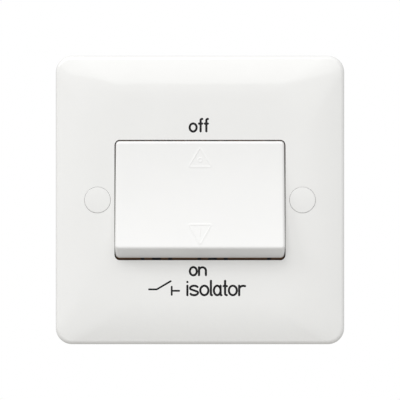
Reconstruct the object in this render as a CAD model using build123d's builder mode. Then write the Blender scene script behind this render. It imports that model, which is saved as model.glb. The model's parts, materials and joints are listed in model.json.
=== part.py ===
from build123d import *
from math import cos, pi, radians, sin, sqrt
import os

os.makedirs("parts", exist_ok=True)

# All sizes are millimetres. X runs to the right, Y into the wall and Z up. The wall plane is y = 0,
# and a height is the distance in front of the wall.

# Front plate
plate_side = 86.0
plate_corner = 4.8
plate_height = 9.0
side_draft = 0.4
flat_half = 30.0
flat_corner = 12.0
shoulder_tilts = [17.0, 14.0, 11.0, 8.0, 5.0, 2.0, 0.0]
rim_radius = 1.5
plate_wall = 2.4
skirt_wall = 2.2
collar_wall = 2.05
cavity_corner = 3.0
cavity_step = 4.8
rib_thickness = 1.4
rib_height = 2.0
rib_bite = 0.6

# Fixing holes for the wall box
fixing_spacing = 60.3
fixing_hole = 4.0
fixing_boss = 9.6
screw_seat = 4.5
head_bore = 7.1
cap_ledge = 7.6

# Screw caps
cap_diameter = 7.6
cap_fit = 0.075
cap_dome = 0.12
cap_margin = 1.5
cap_edge = 0.15
clip_fit = 0.1
clip_wall = 0.8
clip_length = 1.8
cap_thickness = 1.1

# Rocker with flat ends, whose edges turn within a drum about the pivot axis
pivot_height = 0.5
rocker_throw = 8.0
drum_radius = 19.28
rocker_end_radius = 1.15
rocker_edge_radius = 0.9
rocker_gap = 0.35
rocker_side_gap = 0.3
face_height = 10.35
dish_radius = 178.0
skirt_height = 3.7
face_wall = 2.0
drum_wall = 1.8
side_wall = 1.7

# Rocker stem and trunnions
hub_thickness = 1.6
hub_clearance = 0.4
hub_half = 8.0
hub_end_radius = 3.2
trunnion_radius = 2.0
trunnion_inset = 0.2
trunnion_fit = 0.05
web_thickness = 1.6
web_depth = 1.0

# Plungers and springs
plunger_radius = 2.2
plunger_fit = 0.05
plunger_reach = 12.0
plunger_top = 3.0
socket_wall = 1.05
socket_depth = 3.0
socket_floor = 7.5
spring_wire = 0.25
spring_radius = 1.7
spring_turns = 3
spigot_radius = 1.2
spigot_length = 1.2

# Contact arms
arm_clearance = 0.06
arm_throw = 7.5
arm_front = 0.8
arm_thickness = 1.0
arm_width = 6.0
arm_top = 13.2
arm_bottom = 11.5
lug_radius = 0.75
lug_fit = 0.05
lug_half = 3.9

# Contacts
contact_reach = 11.5
contact_radius = 1.5
contact_head = 0.9
contact_edge = 0.3
contact_gap_on = 0.05
rivet_radius = 0.8
rivet_tail_radius = 1.2
rivet_tail = 0.3

# Switch base
base_inset = 0.35
base_side = 2.0
base_half_height = 25.0
flange_lip = 1.7
flange_thickness = 2.2
base_floor = 17.0
base_rear = 18.6
base_corner = 1.5
pole_wall = 1.6
chamber_half_height = 14.2
ear_wall = 2.3
hub_bay_depth = 4.0
end_wall = 1.6
entry_width = 5.0
entry_corner = 0.8
access_radius = 3.3
ear_radius = 3.1
barrier_length = 9.0
barrier_thickness = 1.6
barrier_height = 1.5

# Base screws
post_offset = 1.1
post_z = 17.5
post_radius = 2.7
pilot_radius = 1.05
pilot_depth = 6.0
lug_hole_radius = 1.4
base_screw_radius = 1.25
base_screw_length = 7.0
base_screw_head = 2.3
base_screw_head_height = 1.5

# Terminals
block_width = 8.0
block_gap = 0.2
block_front = 8.0
cable_radius = 2.0
cable_depth = 11.5
tongue_thickness = 1.0
tongue_width = 6.0
tongue_end = 9.3
cheek_inner = 3.2
cheek_half = 2.2
cheek_front = 0.66
peg_radius = 0.8
peg_fit = 0.05
peg_z = 13.0
peg_top = 10.3
terminal_screw_radius = 1.75
tapped_radius = 1.5
terminal_screw_tip = 13.7
terminal_head_radius = 2.9
terminal_head_start = 17.6
terminal_head_height = 2.0
slot_width = 0.8
slot_depth = 1.0

# Sizes that follow from the ones above: the rocker fills the space between the screw caps,
# the base sits behind it and the three poles share the base
plate_half = plate_side / 2
rim_half = plate_half - side_draft
rocker_width = fixing_spacing - cap_diameter - 2 * cap_margin
base_half_width = rocker_width / 2 - base_inset
pole_pitch = (base_half_width - base_side) / 1.5
pole_positions = [-pole_pitch, 0.0, pole_pitch]
chamber_half_width = (pole_pitch - pole_wall) / 2
hub_bay_half = base_half_width - ear_wall
hub_outer = hub_bay_half - hub_clearance
hub_inner = hub_outer - hub_thickness
trunnion_end = base_half_width - trunnion_inset
flange_half_width = base_half_width + flange_lip
post_x = flange_half_width + post_offset
collar_half_height = drum_radius + rocker_gap + collar_wall
shoulder_radius = (rim_half - flat_half) / sin(radians(shoulder_tilts[0]))
rim_height = plate_height - shoulder_radius * (1 - cos(radians(shoulder_tilts[0])))
cavity_side = plate_side - 2 * skirt_wall
ceiling_height = plate_height - plate_wall
rib_end = (cavity_side + skirt_wall) / 2
pivot_y = -pivot_height
edge_height = face_height + (drum_radius**2 - face_height**2) / (2 * (dish_radius + face_height))
edge_half = sqrt(drum_radius**2 - edge_height**2)
skirt_half = sqrt(drum_radius**2 - skirt_height**2)
spring_height = socket_floor - plunger_top - 2 * spring_wire
arm_y = pivot_y + plunger_reach + arm_clearance + arm_front
contact_rear = arm_thickness - arm_front + contact_head
fixed_contact_y = (
    arm_y
    + contact_rear * cos(radians(arm_throw))
    + (contact_reach + contact_radius) * sin(radians(arm_throw))
    + contact_gap_on
)
fixed_contact_z = contact_reach * cos(radians(arm_throw)) - contact_rear * sin(radians(arm_throw))
cheek_outer = block_width / 2
cheek_middle = (cheek_inner + cheek_outer) / 2
block_inner = chamber_half_height + block_gap
block_length = base_half_height - end_wall - block_inner
block_middle = block_inner + block_length / 2
terminal_screw_z = block_middle
pocket_length = 2 * (base_half_height - end_wall)
clip_radius = head_bore / 2 - clip_fit
clip_top = plate_height - cap_thickness
fixing_places = [(-fixing_spacing / 2, 0), (fixing_spacing / 2, 0)]
post_places = [(sx * post_x, sz * post_z) for sx in (-1, 1) for sz in (-1, 1)]
screw_places = [(x, sz * terminal_screw_z) for x in pole_positions for sz in (-1, 1)]
barrier_places = [(sx * pole_pitch / 2, sz * terminal_screw_z) for sx in (-1, 1) for sz in (-1, 1)]
rib_outline = [
    (-rib_end, rib_height),
    (rib_end, rib_height),
    (rib_end, cavity_step + rib_bite),
    (flat_half, ceiling_height + rib_bite),
    (-flat_half, ceiling_height + rib_bite),
    (-rib_end, cavity_step + rib_bite),
]

# Planes of the tilted pieces as they rest, with the rocker pressed in at the top
rocker_front = (0, -cos(radians(rocker_throw)), sin(radians(rocker_throw)))
rocker_up = (0, sin(radians(rocker_throw)), cos(radians(rocker_throw)))
rocker_plane = Plane(origin=(0, pivot_y, 0), x_dir=(1, 0, 0), z_dir=rocker_front)
rocker_side = Plane(origin=(0, pivot_y, 0), x_dir=rocker_up, z_dir=(1, 0, 0))
arm_face = (0, -cos(radians(arm_throw)), -sin(radians(arm_throw)))
arm_plane = Plane(origin=(0, arm_y, 0), x_dir=(1, 0, 0), z_dir=arm_face)
arm_up = (0, -sin(radians(arm_throw)), cos(radians(arm_throw)))
arm_side = Plane(origin=(0, arm_y, 0), x_dir=arm_up, z_dir=(1, 0, 0))
pivot_side = Plane(origin=(0, pivot_y, 0), x_dir=(0, 0, 1), z_dir=(1, 0, 0))
cradle_side = Plane(origin=(0, arm_y, 0), x_dir=(0, 0, 1), z_dir=(1, 0, 0))
wall_side = Plane(origin=(0, 0, 0), x_dir=(0, 0, 1), z_dir=(1, 0, 0))
wall_top = Plane(origin=(0, 0, 0), x_dir=(1, 0, 0), z_dir=(0, 0, -1))

# Front plate: pillow-shaped cover with leaning sides, hollow behind, with collar, bosses, posts and ribs
with BuildPart() as front_plate:
    with BuildSketch(Plane.XZ):
        RectangleRounded(plate_side, plate_side, plate_corner)
    with BuildSketch(Plane.XZ.offset(rim_height)):
        RectangleRounded(2 * rim_half, 2 * rim_half, plate_corner)
    loft(ruled=True)
    for tilt in shoulder_tilts:
        reach = shoulder_radius * sin(radians(tilt))
        share = reach / (rim_half - flat_half)
        side = 2 * (flat_half + reach)
        corner = flat_corner + (plate_corner - flat_corner) * share
        with BuildSketch(Plane.XZ.offset(plate_height - shoulder_radius * (1 - cos(radians(tilt))))):
            RectangleRounded(side, side, corner)
    loft()
    rim = front_plate.edges().filter_by_position(Axis.Y, -rim_height - 0.01, -rim_height + 0.01)
    fillet(rim, radius=rim_radius)
    with BuildSketch(Plane.XZ):
        RectangleRounded(cavity_side, cavity_side, cavity_corner)
    extrude(amount=cavity_step, mode=Mode.SUBTRACT)
    with BuildSketch(Plane.XZ.offset(cavity_step)):
        RectangleRounded(cavity_side, cavity_side, cavity_corner)
    with BuildSketch(Plane.XZ.offset(ceiling_height)):
        RectangleRounded(2 * flat_half, 2 * flat_half, flat_corner)
    loft(ruled=True, mode=Mode.SUBTRACT)
    with BuildSketch(Plane.XZ):
        Rectangle(2 * flange_half_width, 2 * collar_half_height)
        with Locations(*fixing_places):
            Circle(fixing_boss / 2)
        with Locations(*post_places):
            Circle(post_radius)
    extrude(amount=ceiling_height + rib_bite)
    with BuildSketch(wall_side.offset(-pole_pitch), wall_side.offset(pole_pitch), wall_top):
        Polygon(*rib_outline, align=None)
    extrude(amount=rib_thickness / 2, both=True)
    with BuildSketch(pivot_side):
        Circle(drum_radius + rocker_gap)
    extrude(amount=rocker_width / 2 + rocker_side_gap, both=True, mode=Mode.SUBTRACT)
    aperture_ends = front_plate.edges().filter_by(GeomType.CIRCLE).filter_by(
        lambda e: abs(e.radius - drum_radius - rocker_gap) < 0.01
    )
    fillet(aperture_ends, radius=rocker_end_radius + rocker_gap)
    with BuildSketch(Plane.XZ):
        with Locations(*fixing_places):
            Circle(fixing_hole / 2)
    extrude(amount=plate_height, mode=Mode.SUBTRACT)
    with BuildSketch(Plane.XZ.offset(screw_seat)):
        with Locations(*fixing_places):
            Circle(head_bore / 2)
    extrude(amount=plate_height - screw_seat, mode=Mode.SUBTRACT)
    with BuildSketch(Plane.XZ.offset(cap_ledge)):
        with Locations(*fixing_places):
            Circle(cap_diameter / 2 + cap_fit)
    extrude(amount=plate_height - cap_ledge, mode=Mode.SUBTRACT)
    with BuildSketch(Plane.XZ):
        with Locations(*post_places):
            Circle(pilot_radius)
    extrude(amount=pilot_depth, mode=Mode.SUBTRACT)
front_plate.part.label = "front_plate"
export_step(front_plate.part, "parts/front_plate.step")

# Rocker: dished face with flat ends, hollow behind, with hub plates, trunnions and plunger sockets
with BuildPart() as rocker:
    with BuildSketch(rocker_side):
        with BuildLine():
            ThreePointArc((-edge_half, edge_height), (0, face_height), (edge_half, edge_height))
            Polyline(
                (edge_half, edge_height),
                (skirt_half, skirt_height),
                (-skirt_half, skirt_height),
                (-edge_half, edge_height),
            )
        make_face()
    extrude(amount=rocker_width / 2, both=True)
    end_corners = rocker.edges().filter_by(GeomType.LINE).sort_by(SortBy.LENGTH)[:4]
    fillet(end_corners, radius=rocker_end_radius)
    dish = rocker.faces().sort_by(Axis.Y)[0]
    fillet(dish.edges(), radius=rocker_edge_radius)
    with BuildSketch(rocker_side):
        Circle(drum_radius - drum_wall)
        with Locations((0, face_height + dish_radius)):
            Circle(dish_radius + face_wall, mode=Mode.SUBTRACT)
    extrude(amount=rocker_width / 2 - side_wall, both=True, mode=Mode.SUBTRACT)
    for outward in (-1, 1):
        with BuildSketch(rocker_side.offset(outward * hub_inner)):
            Circle(hub_end_radius)
            with BuildLine():
                Polyline((-hub_end_radius, 0), (hub_end_radius, 0), (hub_half, face_height - face_wall / 2),
                         (-hub_half, face_height - face_wall / 2), close=True)
            make_face()
        extrude(amount=outward * (hub_outer - hub_inner))
        with BuildSketch(rocker_side.offset(outward * hub_outer)):
            Circle(trunnion_radius)
        extrude(amount=outward * (trunnion_end - hub_outer))
    with BuildSketch(rocker_plane.offset(-web_depth)):
        Rectangle(2 * hub_inner, web_thickness)
    extrude(amount=web_depth + face_height - face_wall / 2)
    with BuildSketch(rocker_plane.offset(-socket_depth)):
        with Locations(*[(x, 0) for x in pole_positions]):
            Circle(plunger_radius + plunger_fit + socket_wall)
    extrude(amount=socket_depth + face_height - face_wall / 2)
    with BuildSketch(rocker_plane.offset(-socket_depth)):
        with Locations(*[(x, 0) for x in pole_positions]):
            Circle(plunger_radius + plunger_fit)
    extrude(amount=socket_depth + socket_floor, mode=Mode.SUBTRACT)
rocker.part.label = "rocker"
export_step(rocker.part, "parts/rocker.step")

# Screw caps: shallow domed discs with a clip ring that sits in the screw recess
for side_name, (cap_x, _) in zip(("left", "right"), fixing_places):
    with BuildPart() as screw_cap:
        with BuildSketch(Plane.XY):
            with BuildLine():
                Line((cap_x, -clip_top), (cap_x, -plate_height - cap_dome))
                ThreePointArc(
                    (cap_x, -plate_height - cap_dome),
                    (cap_x + cap_diameter / 4, -plate_height - cap_dome * 3 / 4),
                    (cap_x + cap_diameter / 2, -plate_height),
                )
                Polyline(
                    (cap_x + cap_diameter / 2, -plate_height),
                    (cap_x + cap_diameter / 2, -cap_ledge),
                    (cap_x + clip_radius, -cap_ledge),
                    (cap_x + clip_radius, clip_length - cap_ledge),
                    (cap_x + clip_radius - clip_wall, clip_length - cap_ledge),
                    (cap_x + clip_radius - clip_wall, -clip_top),
                    (cap_x, -clip_top),
                )
            make_face()
        revolve(axis=Axis((cap_x, 0, 0), (0, 1, 0)))
        cap_rims = screw_cap.edges().filter_by(lambda e: abs(e.length - pi * cap_diameter) < 0.01)
        fillet(cap_rims.sort_by(Axis.Y)[0], radius=cap_edge)
    screw_cap.part.label = f"screw_cap_{side_name}"
    export_step(screw_cap.part, f"parts/screw_cap_{side_name}.step")

# Switch base: three pole chambers with terminal pockets, trunnion ears, flange and screw lugs
with BuildPart() as switch_base:
    with BuildSketch(Plane.XZ):
        RectangleRounded(2 * flange_half_width, 2 * base_half_height, base_corner)
        with Locations((0, -post_z), (0, post_z)):
            SlotOverall(2 * (post_x + post_radius), 2 * post_radius)
    extrude(amount=-flange_thickness)
    with BuildSketch(Plane.XZ):
        RectangleRounded(2 * base_half_width, 2 * base_half_height, base_corner)
    extrude(amount=-base_rear)
    fillet(switch_base.edges().group_by(Axis.Y)[-1], radius=base_corner / 2)
    with BuildSketch(Plane.XZ.offset(-base_rear)):
        with Locations(*barrier_places):
            SlotOverall(barrier_length, barrier_thickness, rotation=90)
    extrude(amount=-barrier_height)
    for outward in (-1, 1):
        with BuildSketch(pivot_side.offset(outward * hub_bay_half)):
            Circle(ear_radius)
            with Locations((0, -flange_thickness / 2)):
                Rectangle(2 * ear_radius, flange_thickness)
        extrude(amount=outward * (base_half_width - hub_bay_half))
    with BuildSketch(Plane.XZ):
        with Locations(*[(x, 0) for x in pole_positions]):
            Rectangle(2 * chamber_half_width, 2 * chamber_half_height)
            Rectangle(block_width, pocket_length)
    extrude(amount=-base_floor, mode=Mode.SUBTRACT)
    with BuildSketch(Plane.XZ):
        Rectangle(2 * hub_bay_half, 2 * chamber_half_height)
    extrude(amount=-hub_bay_depth, mode=Mode.SUBTRACT)
    with BuildSketch(pivot_side):
        Circle(trunnion_radius + trunnion_fit)
    extrude(amount=base_half_width, both=True, mode=Mode.SUBTRACT)
    with BuildSketch(Plane.XY):
        with Locations(*[(x, cable_depth) for x in pole_positions]):
            RectangleRounded(entry_width, entry_width, entry_corner)
    extrude(amount=base_half_height, both=True, mode=Mode.SUBTRACT)
    with BuildSketch(Plane.XZ.offset(-base_floor)):
        with Locations(*[(x, -peg_z) for x in pole_positions]):
            Circle(peg_radius)
    extrude(amount=base_floor - peg_top)
    with BuildSketch(Plane.XZ.offset(-base_rear)):
        with Locations(*screw_places):
            Circle(access_radius)
    extrude(amount=base_rear - base_floor, mode=Mode.SUBTRACT)
    with BuildSketch(Plane.XZ):
        with Locations(*post_places):
            Circle(lug_hole_radius)
    extrude(amount=-flange_thickness, mode=Mode.SUBTRACT)
switch_base.part.label = "switch_base"
export_step(switch_base.part, "parts/switch_base.step")

# Base screws: four pan heads from behind into the posts of the plate
with BuildPart() as base_screws:
    with BuildSketch(Plane.XZ.offset(-flange_thickness)):
        with Locations(*post_places):
            Circle(base_screw_radius)
    extrude(amount=base_screw_length)
    with BuildSketch(Plane.XZ.offset(-flange_thickness)):
        with Locations(*post_places):
            Circle(base_screw_head)
    extrude(amount=-base_screw_head_height)
    fillet(base_screws.edges().group_by(Axis.Y)[-1], radius=base_screw_head_height / 3)
    with BuildSketch(Plane.XZ.offset(-flange_thickness - base_screw_head_height)):
        with Locations(*post_places):
            Rectangle(slot_width, base_screw_head * 1.2)
            Rectangle(base_screw_head * 1.2, slot_width)
    extrude(amount=base_screw_head_height * 0.6, mode=Mode.SUBTRACT)
base_screws.part.label = "base_screws"
export_step(base_screws.part, "parts/base_screws.step")

# Terminal screws: six slotted heads, backed out so that the cable bores are clear
with BuildPart() as terminal_screws:
    with BuildSketch(Plane.XZ.offset(-terminal_screw_tip)):
        with Locations(*screw_places):
            Circle(terminal_screw_radius)
    extrude(amount=terminal_screw_tip - terminal_head_start)
    with BuildSketch(Plane.XZ.offset(-terminal_head_start)):
        with Locations(*screw_places):
            Circle(terminal_head_radius)
    extrude(amount=-terminal_head_height)
    with BuildSketch(Plane.XZ.offset(-terminal_head_start - terminal_head_height)):
        with Locations(*screw_places):
            Rectangle(slot_width, 3 * terminal_head_radius)
    extrude(amount=slot_depth, mode=Mode.SUBTRACT)
terminal_screws.part.label = "terminal_screws"
export_step(terminal_screws.part, "parts/terminal_screws.step")

# Pieces that repeat for each pole
for number, pole_x in enumerate(pole_positions, start=1):
    # Plunger: nylon pin with a round nose and a spring spigot, guided in the rocker
    with BuildPart() as plunger:
        with BuildSketch(rocker_side.offset(pole_x)):
            with BuildLine():
                CenterArc((0, plunger_radius - plunger_reach), plunger_radius, -90, 90)
                Polyline(
                    (plunger_radius, plunger_radius - plunger_reach),
                    (plunger_radius, plunger_top),
                    (spigot_radius, plunger_top),
                    (spigot_radius, plunger_top + spigot_length),
                    (0, plunger_top + spigot_length),
                    (0, -plunger_reach),
                )
            make_face()
        revolve(axis=Axis((pole_x, pivot_y, 0), rocker_front))
    plunger.part.label = f"plunger_{number}"
    export_step(plunger.part, f"parts/plunger_{number}.step")

    # Plunger spring: short coil between the plunger and the socket floor
    with BuildPart() as plunger_spring:
        with BuildLine() as coil:
            Helix(
                pitch=spring_height / spring_turns,
                height=spring_height,
                radius=spring_radius,
                center=rocker_plane.from_local_coords((pole_x, 0, plunger_top + spring_wire)),
                direction=rocker_front,
            )
        with BuildSketch(Plane(origin=coil.line @ 0, z_dir=coil.line % 0)):
            Circle(spring_wire)
        sweep(path=coil.line)
    plunger_spring.part.label = f"plunger_spring_{number}"
    export_step(plunger_spring.part, f"parts/plunger_spring_{number}.step")

    # Contact arm: copper see-saw strip with side lugs on its hinge line
    with BuildPart() as contact_arm:
        with BuildSketch(arm_plane.offset(arm_front)):
            with Locations((pole_x, (arm_top - arm_bottom) / 2)):
                RectangleRounded(arm_width, arm_top + arm_bottom, contact_radius)
        extrude(amount=-arm_thickness)
        with BuildSketch(arm_side.offset(pole_x)):
            Circle(lug_radius)
        extrude(amount=lug_half, both=True)
        with BuildSketch(arm_plane.offset(arm_front)):
            with Locations((pole_x, contact_reach)):
                Circle(rivet_radius)
        extrude(amount=-arm_thickness, mode=Mode.SUBTRACT)
    contact_arm.part.label = f"contact_arm_{number}"
    export_step(contact_arm.part, f"parts/contact_arm_{number}.step")

    # Moving contact: silver rivet through the upper end of the arm
    with BuildPart() as moving_contact:
        with BuildSketch(arm_plane.offset(arm_front - arm_thickness)):
            with Locations((pole_x, contact_reach)):
                Circle(contact_radius)
        extrude(amount=-contact_head)
        fillet(moving_contact.edges().group_by(Axis.Y)[-1], radius=contact_edge)
        with BuildSketch(arm_plane.offset(arm_front - arm_thickness)):
            with Locations((pole_x, contact_reach)):
                Circle(rivet_radius)
        extrude(amount=arm_thickness)
        with BuildSketch(arm_plane.offset(arm_front)):
            with Locations((pole_x, contact_reach)):
                Circle(rivet_tail_radius)
        extrude(amount=rivet_tail)
    moving_contact.part.label = f"moving_contact_{number}"
    export_step(moving_contact.part, f"parts/moving_contact_{number}.step")

    # Fixed contact: silver rivet on the tongue of the load terminal
    with BuildPart() as fixed_contact:
        with BuildSketch(Plane.XZ.offset(tongue_thickness - base_floor)):
            with Locations((pole_x, fixed_contact_z)):
                Circle(contact_radius)
        extrude(amount=base_floor - tongue_thickness - fixed_contact_y)
        fillet(fixed_contact.edges().group_by(Axis.Y)[0], radius=contact_edge)
        with BuildSketch(Plane.XZ.offset(tongue_thickness - base_floor)):
            with Locations((pole_x, fixed_contact_z)):
                Circle(rivet_radius)
        extrude(amount=-tongue_thickness)
    fixed_contact.part.label = f"fixed_contact_{number}"
    export_step(fixed_contact.part, f"parts/fixed_contact_{number}.step")

    # Load terminal: upper brass block with cable bore, tapped hole and contact tongue
    with BuildPart() as load_terminal:
        with BuildSketch(Plane.XZ.offset(-base_floor)):
            with Locations((pole_x, block_middle)):
                Rectangle(block_width, block_length)
        extrude(amount=base_floor - block_front)
        with BuildSketch(Plane.XZ.offset(-base_floor)):
            with Locations((pole_x, (tongue_end + block_middle) / 2)):
                Rectangle(tongue_width, block_middle - tongue_end)
        extrude(amount=tongue_thickness)
        with BuildSketch(Plane.XY.offset(block_inner)):
            with Locations((pole_x, cable_depth)):
                Circle(cable_radius)
        extrude(amount=block_length, mode=Mode.SUBTRACT)
        with BuildSketch(Plane.XZ.offset(-base_floor)):
            with Locations((pole_x, terminal_screw_z)):
                Circle(tapped_radius)
        extrude(amount=base_floor - cable_depth, mode=Mode.SUBTRACT)
        with BuildSketch(Plane.XZ.offset(-base_floor)):
            with Locations((pole_x, fixed_contact_z)):
                Circle(rivet_radius)
        extrude(amount=tongue_thickness, mode=Mode.SUBTRACT)
    load_terminal.part.label = f"load_terminal_{number}"
    export_step(load_terminal.part, f"parts/load_terminal_{number}.step")

    # Feed terminal: lower brass block with a strip to the cradle that carries the arm
    with BuildPart() as feed_terminal:
        with BuildSketch(Plane.XZ.offset(-base_floor)):
            with Locations((pole_x, -block_middle)):
                Rectangle(block_width, block_length)
        extrude(amount=base_floor - block_front)
        with BuildSketch(Plane.XZ.offset(-base_floor)):
            with Locations((pole_x, (cheek_half - block_inner) / 2)):
                Rectangle(block_width, cheek_half + block_inner)
        extrude(amount=tongue_thickness)
        with BuildSketch(Plane.XZ.offset(-base_floor)):
            with Locations((pole_x - cheek_middle, 0), (pole_x + cheek_middle, 0)):
                Rectangle(cheek_outer - cheek_inner, 2 * cheek_half)
        extrude(amount=base_floor - arm_y + cheek_front)
        with BuildSketch(cradle_side.offset(pole_x)):
            Circle(lug_radius + lug_fit)
            with Locations((0, cheek_front)):
                Rectangle(2 * (lug_radius + lug_fit), 2 * cheek_front)
        extrude(amount=cheek_outer, both=True, mode=Mode.SUBTRACT)
        with BuildSketch(Plane.XY.offset(-block_inner)):
            with Locations((pole_x, cable_depth)):
                Circle(cable_radius)
        extrude(amount=-block_length, mode=Mode.SUBTRACT)
        with BuildSketch(Plane.XZ.offset(-base_floor)):
            with Locations((pole_x, -terminal_screw_z)):
                Circle(tapped_radius)
        extrude(amount=base_floor - cable_depth, mode=Mode.SUBTRACT)
        with BuildSketch(Plane.XZ.offset(-base_floor)):
            with Locations((pole_x, -peg_z)):
                Circle(peg_radius + peg_fit)
        extrude(amount=tongue_thickness, mode=Mode.SUBTRACT)
    feed_terminal.part.label = f"feed_terminal_{number}"
    export_step(feed_terminal.part, f"parts/feed_terminal_{number}.step")
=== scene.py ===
import json
import math
from typing import NamedTuple

import bpy
from bpy.props import FloatProperty, FloatVectorProperty, IntProperty, PointerProperty
from bpy.types import Operator, Panel, PropertyGroup
from mathutils import Matrix, Vector


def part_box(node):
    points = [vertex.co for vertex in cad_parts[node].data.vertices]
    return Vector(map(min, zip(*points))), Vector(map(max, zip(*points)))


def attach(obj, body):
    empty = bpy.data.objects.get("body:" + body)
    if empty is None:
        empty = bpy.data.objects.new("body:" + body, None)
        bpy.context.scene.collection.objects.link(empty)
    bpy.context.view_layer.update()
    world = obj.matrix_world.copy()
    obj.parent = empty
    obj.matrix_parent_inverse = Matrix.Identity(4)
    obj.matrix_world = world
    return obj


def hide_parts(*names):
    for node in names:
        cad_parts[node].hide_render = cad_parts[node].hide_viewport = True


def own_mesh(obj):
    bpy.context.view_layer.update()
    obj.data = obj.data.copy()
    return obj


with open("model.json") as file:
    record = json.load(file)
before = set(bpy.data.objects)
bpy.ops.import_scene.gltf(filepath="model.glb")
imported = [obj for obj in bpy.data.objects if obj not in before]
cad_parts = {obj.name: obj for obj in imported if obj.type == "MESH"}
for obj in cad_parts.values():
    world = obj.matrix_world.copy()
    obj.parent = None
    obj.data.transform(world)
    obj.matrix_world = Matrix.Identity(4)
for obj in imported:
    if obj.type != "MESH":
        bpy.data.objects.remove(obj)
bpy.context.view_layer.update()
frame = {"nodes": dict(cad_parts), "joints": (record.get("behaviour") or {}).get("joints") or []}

bl_info = {
    "name": "Fan isolator switch looks",
    "version": (1, 0, 0),
    "blender": (4, 5, 0),
    "location": "View3D > Sidebar > Isolator",
    "description": "Finishes, print, signs, springs and screws for the packed fan isolator switch",
    "category": "Object",
}

MM = 0.001
JOINTS = {joint["name"]: joint for joint in frame["joints"]}
POLES = (1, 2, 3)

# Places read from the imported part
PLATE_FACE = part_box("front_plate")[0].y
PIVOT = Vector(JOINTS["rocker_tilt"]["pos_m"])
PUSH_AXIS = Vector(JOINTS["plunger_1_slide"]["axis"]).normalized()
ROCKER_TILT = math.atan2(PUSH_AXIS.z, -PUSH_AXIS.y)
ROCKER_UP = Vector((0, PUSH_AXIS.z, -PUSH_AXIS.y))

# Half width and half height that just take in the walls of the rocker's opening
OPENING_HALF_WIDTH = 25.4 * MM
OPENING_HALF_HEIGHT = 19.9 * MM

# Dust and painted shade on the walls of the opening, darker deeper in: its colour, and the depths where it
# starts and is full
WALL_DUST_AND_SHADE = (0.5, 0.22, 0.08)
WALL_SHADE_START = 0.1 * MM
WALL_SHADE_FULL = 0.6 * MM

# Dust and painted shade on the hidden skirt of the rocker, in the seam: its colour, and the depth where it is
# full and height where it ends, from the level that the face of the plate reaches on it
SKIRT_DUST_AND_SHADE = (0.16, 0.085, 0.035)
SKIRT_SHADE_FULL = 0.3 * MM
SKIRT_SHADE_END = 0.02 * MM

# Near-black painted shade at breaks in the dust and shade below the rocker: the middle and half width of each
# in millimetres, half the width of their soft edges, and the share of the seam's colour that they keep
SHADE_BREAKS = (
    (-16.9, 0.5), (-12.8, 1.3), (-8.8, 0.6), (-0.2, 0.5), (3.7, 1.3), (7.6, 0.55), (20.3, 0.55))
BREAK_BLUR = 0.15
BREAK_SHADE = 0.05

# Softened edges of mouldings and stampings: widths, the turn from which an edge is softened,
# the turn up to which faces count as one flat, and the gap that is closed first
BASE_EDGE = 0.12 * MM
TERMINAL_EDGE = 0.1 * MM
ARM_EDGE = 0.06 * MM
EDGE_STEPS = 2
EDGE_TURN = math.radians(35)
FLAT_TURN = math.radians(0.4)
WELD_GAP = 0.0005 * MM

# Turns from which an edge stays sharp in smooth shading
RIDGE_CREASE = math.radians(8)
SCREW_CREASE = math.radians(38)

# Steps of the round pieces
STROKE_SIDES = 12
STROKE_END_SIDES = 16
STROKE_END_RINGS = 8
WIRE_SIDES = 14
COIL_STEPS = 48
OVAL_STEPS = 32
RIM_STEPS = 5

# Signs on the rocker's own face, as (x, z) in millimetres
OFF_TRIANGLE = ((0, 13.8), (-3.22, 8.45), (3.22, 8.45))
ON_TRIANGLE = ((0, -14.6), (3.22, -8.8), (-3.22, -8.8))
TRIANGLE_CORNER = 0.25
OFF_MARK_MIDDLE = (0, 10.4)
OFF_MARK_RADIUS = 0.55
ON_MARK = ((0, -10.1), (0, -12.3))

# How deep the foot of a ridge sits in the face, and its shoulder as shares of its width and height
RIDGE_SEAT = 0.03 * MM
SHOULDER_OUT = 0.45
SHOULDER_UP = 0.42

# Least radius that the thread of a screw divides by, because it is nothing on the axis
LEAST_RADIUS = 1e-6

# Floor of the stage: half its side and where it starts to fade, in metres, and its two paints
FLOOR_HALF = 2.5
FLOOR_FADE = 0.5
PAINT_DARK = (0.522, 0.51, 0.49)
PAINT_PALE = (0.562, 0.55, 0.53)

# Soft lights: degrees to the right of the camera, degrees up, width and height in metres
SOFTBOXES = {
    "front": (0, 42, 3.2, 2.34),
    "top": (-15, 50, 0.85, 0.85),
    "left": (-65, 35, 0.85, 0.85),
}
WHITE = (1, 1, 1, 1)
SENSOR_WIDTH = 36
CLIP_START = 0.01


# Settings that a user would change

class MouldingSettings(PropertyGroup):
    """Finish of the white and dark mouldings."""

    plate_colour: FloatVectorProperty(
        name="Plate colour", description="White of the plate and its screw caps",
        subtype="COLOR", size=3, min=0, max=1, default=(0.85, 0.85, 0.836))
    rocker_colour: FloatVectorProperty(
        name="Rocker colour", description="White of the rocker",
        subtype="COLOR", size=3, min=0, max=1, default=(0.85, 0.85, 0.84))
    base_colour: FloatVectorProperty(
        name="Base colour", description="Dark phenolic of the switch base",
        subtype="COLOR", size=3, min=0, max=1, default=(0.03, 0.027, 0.025))
    plate_roughness: FloatProperty(
        name="Plate roughness", description="Mean roughness of the polished plate and its screw caps",
        subtype="FACTOR", min=0, max=1, default=0.09)
    rocker_roughness: FloatProperty(
        name="Rocker roughness", description="Mean roughness of the rocker",
        subtype="FACTOR", min=0, max=1, default=0.33)


class PrintSettings(PropertyGroup):
    """Printed words and circuit sign on the plate."""

    word_stroke: FloatProperty(
        name="Word stroke", description="Stroke width of the words",
        unit="LENGTH", min=0, default=0.65 * MM)
    sign_stroke: FloatProperty(
        name="Sign stroke", description="Stroke width of the circuit sign",
        unit="LENGTH", min=0, default=0.54 * MM)
    ink_height: FloatProperty(
        name="Ink height", description="How far the ink stands on the plate",
        unit="LENGTH", min=0, default=0.012 * MM)
    ink_colour: FloatVectorProperty(
        name="Ink colour", description="Near black of the print",
        subtype="COLOR", size=3, min=0, max=1, default=(0.012, 0.012, 0.013))


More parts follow.
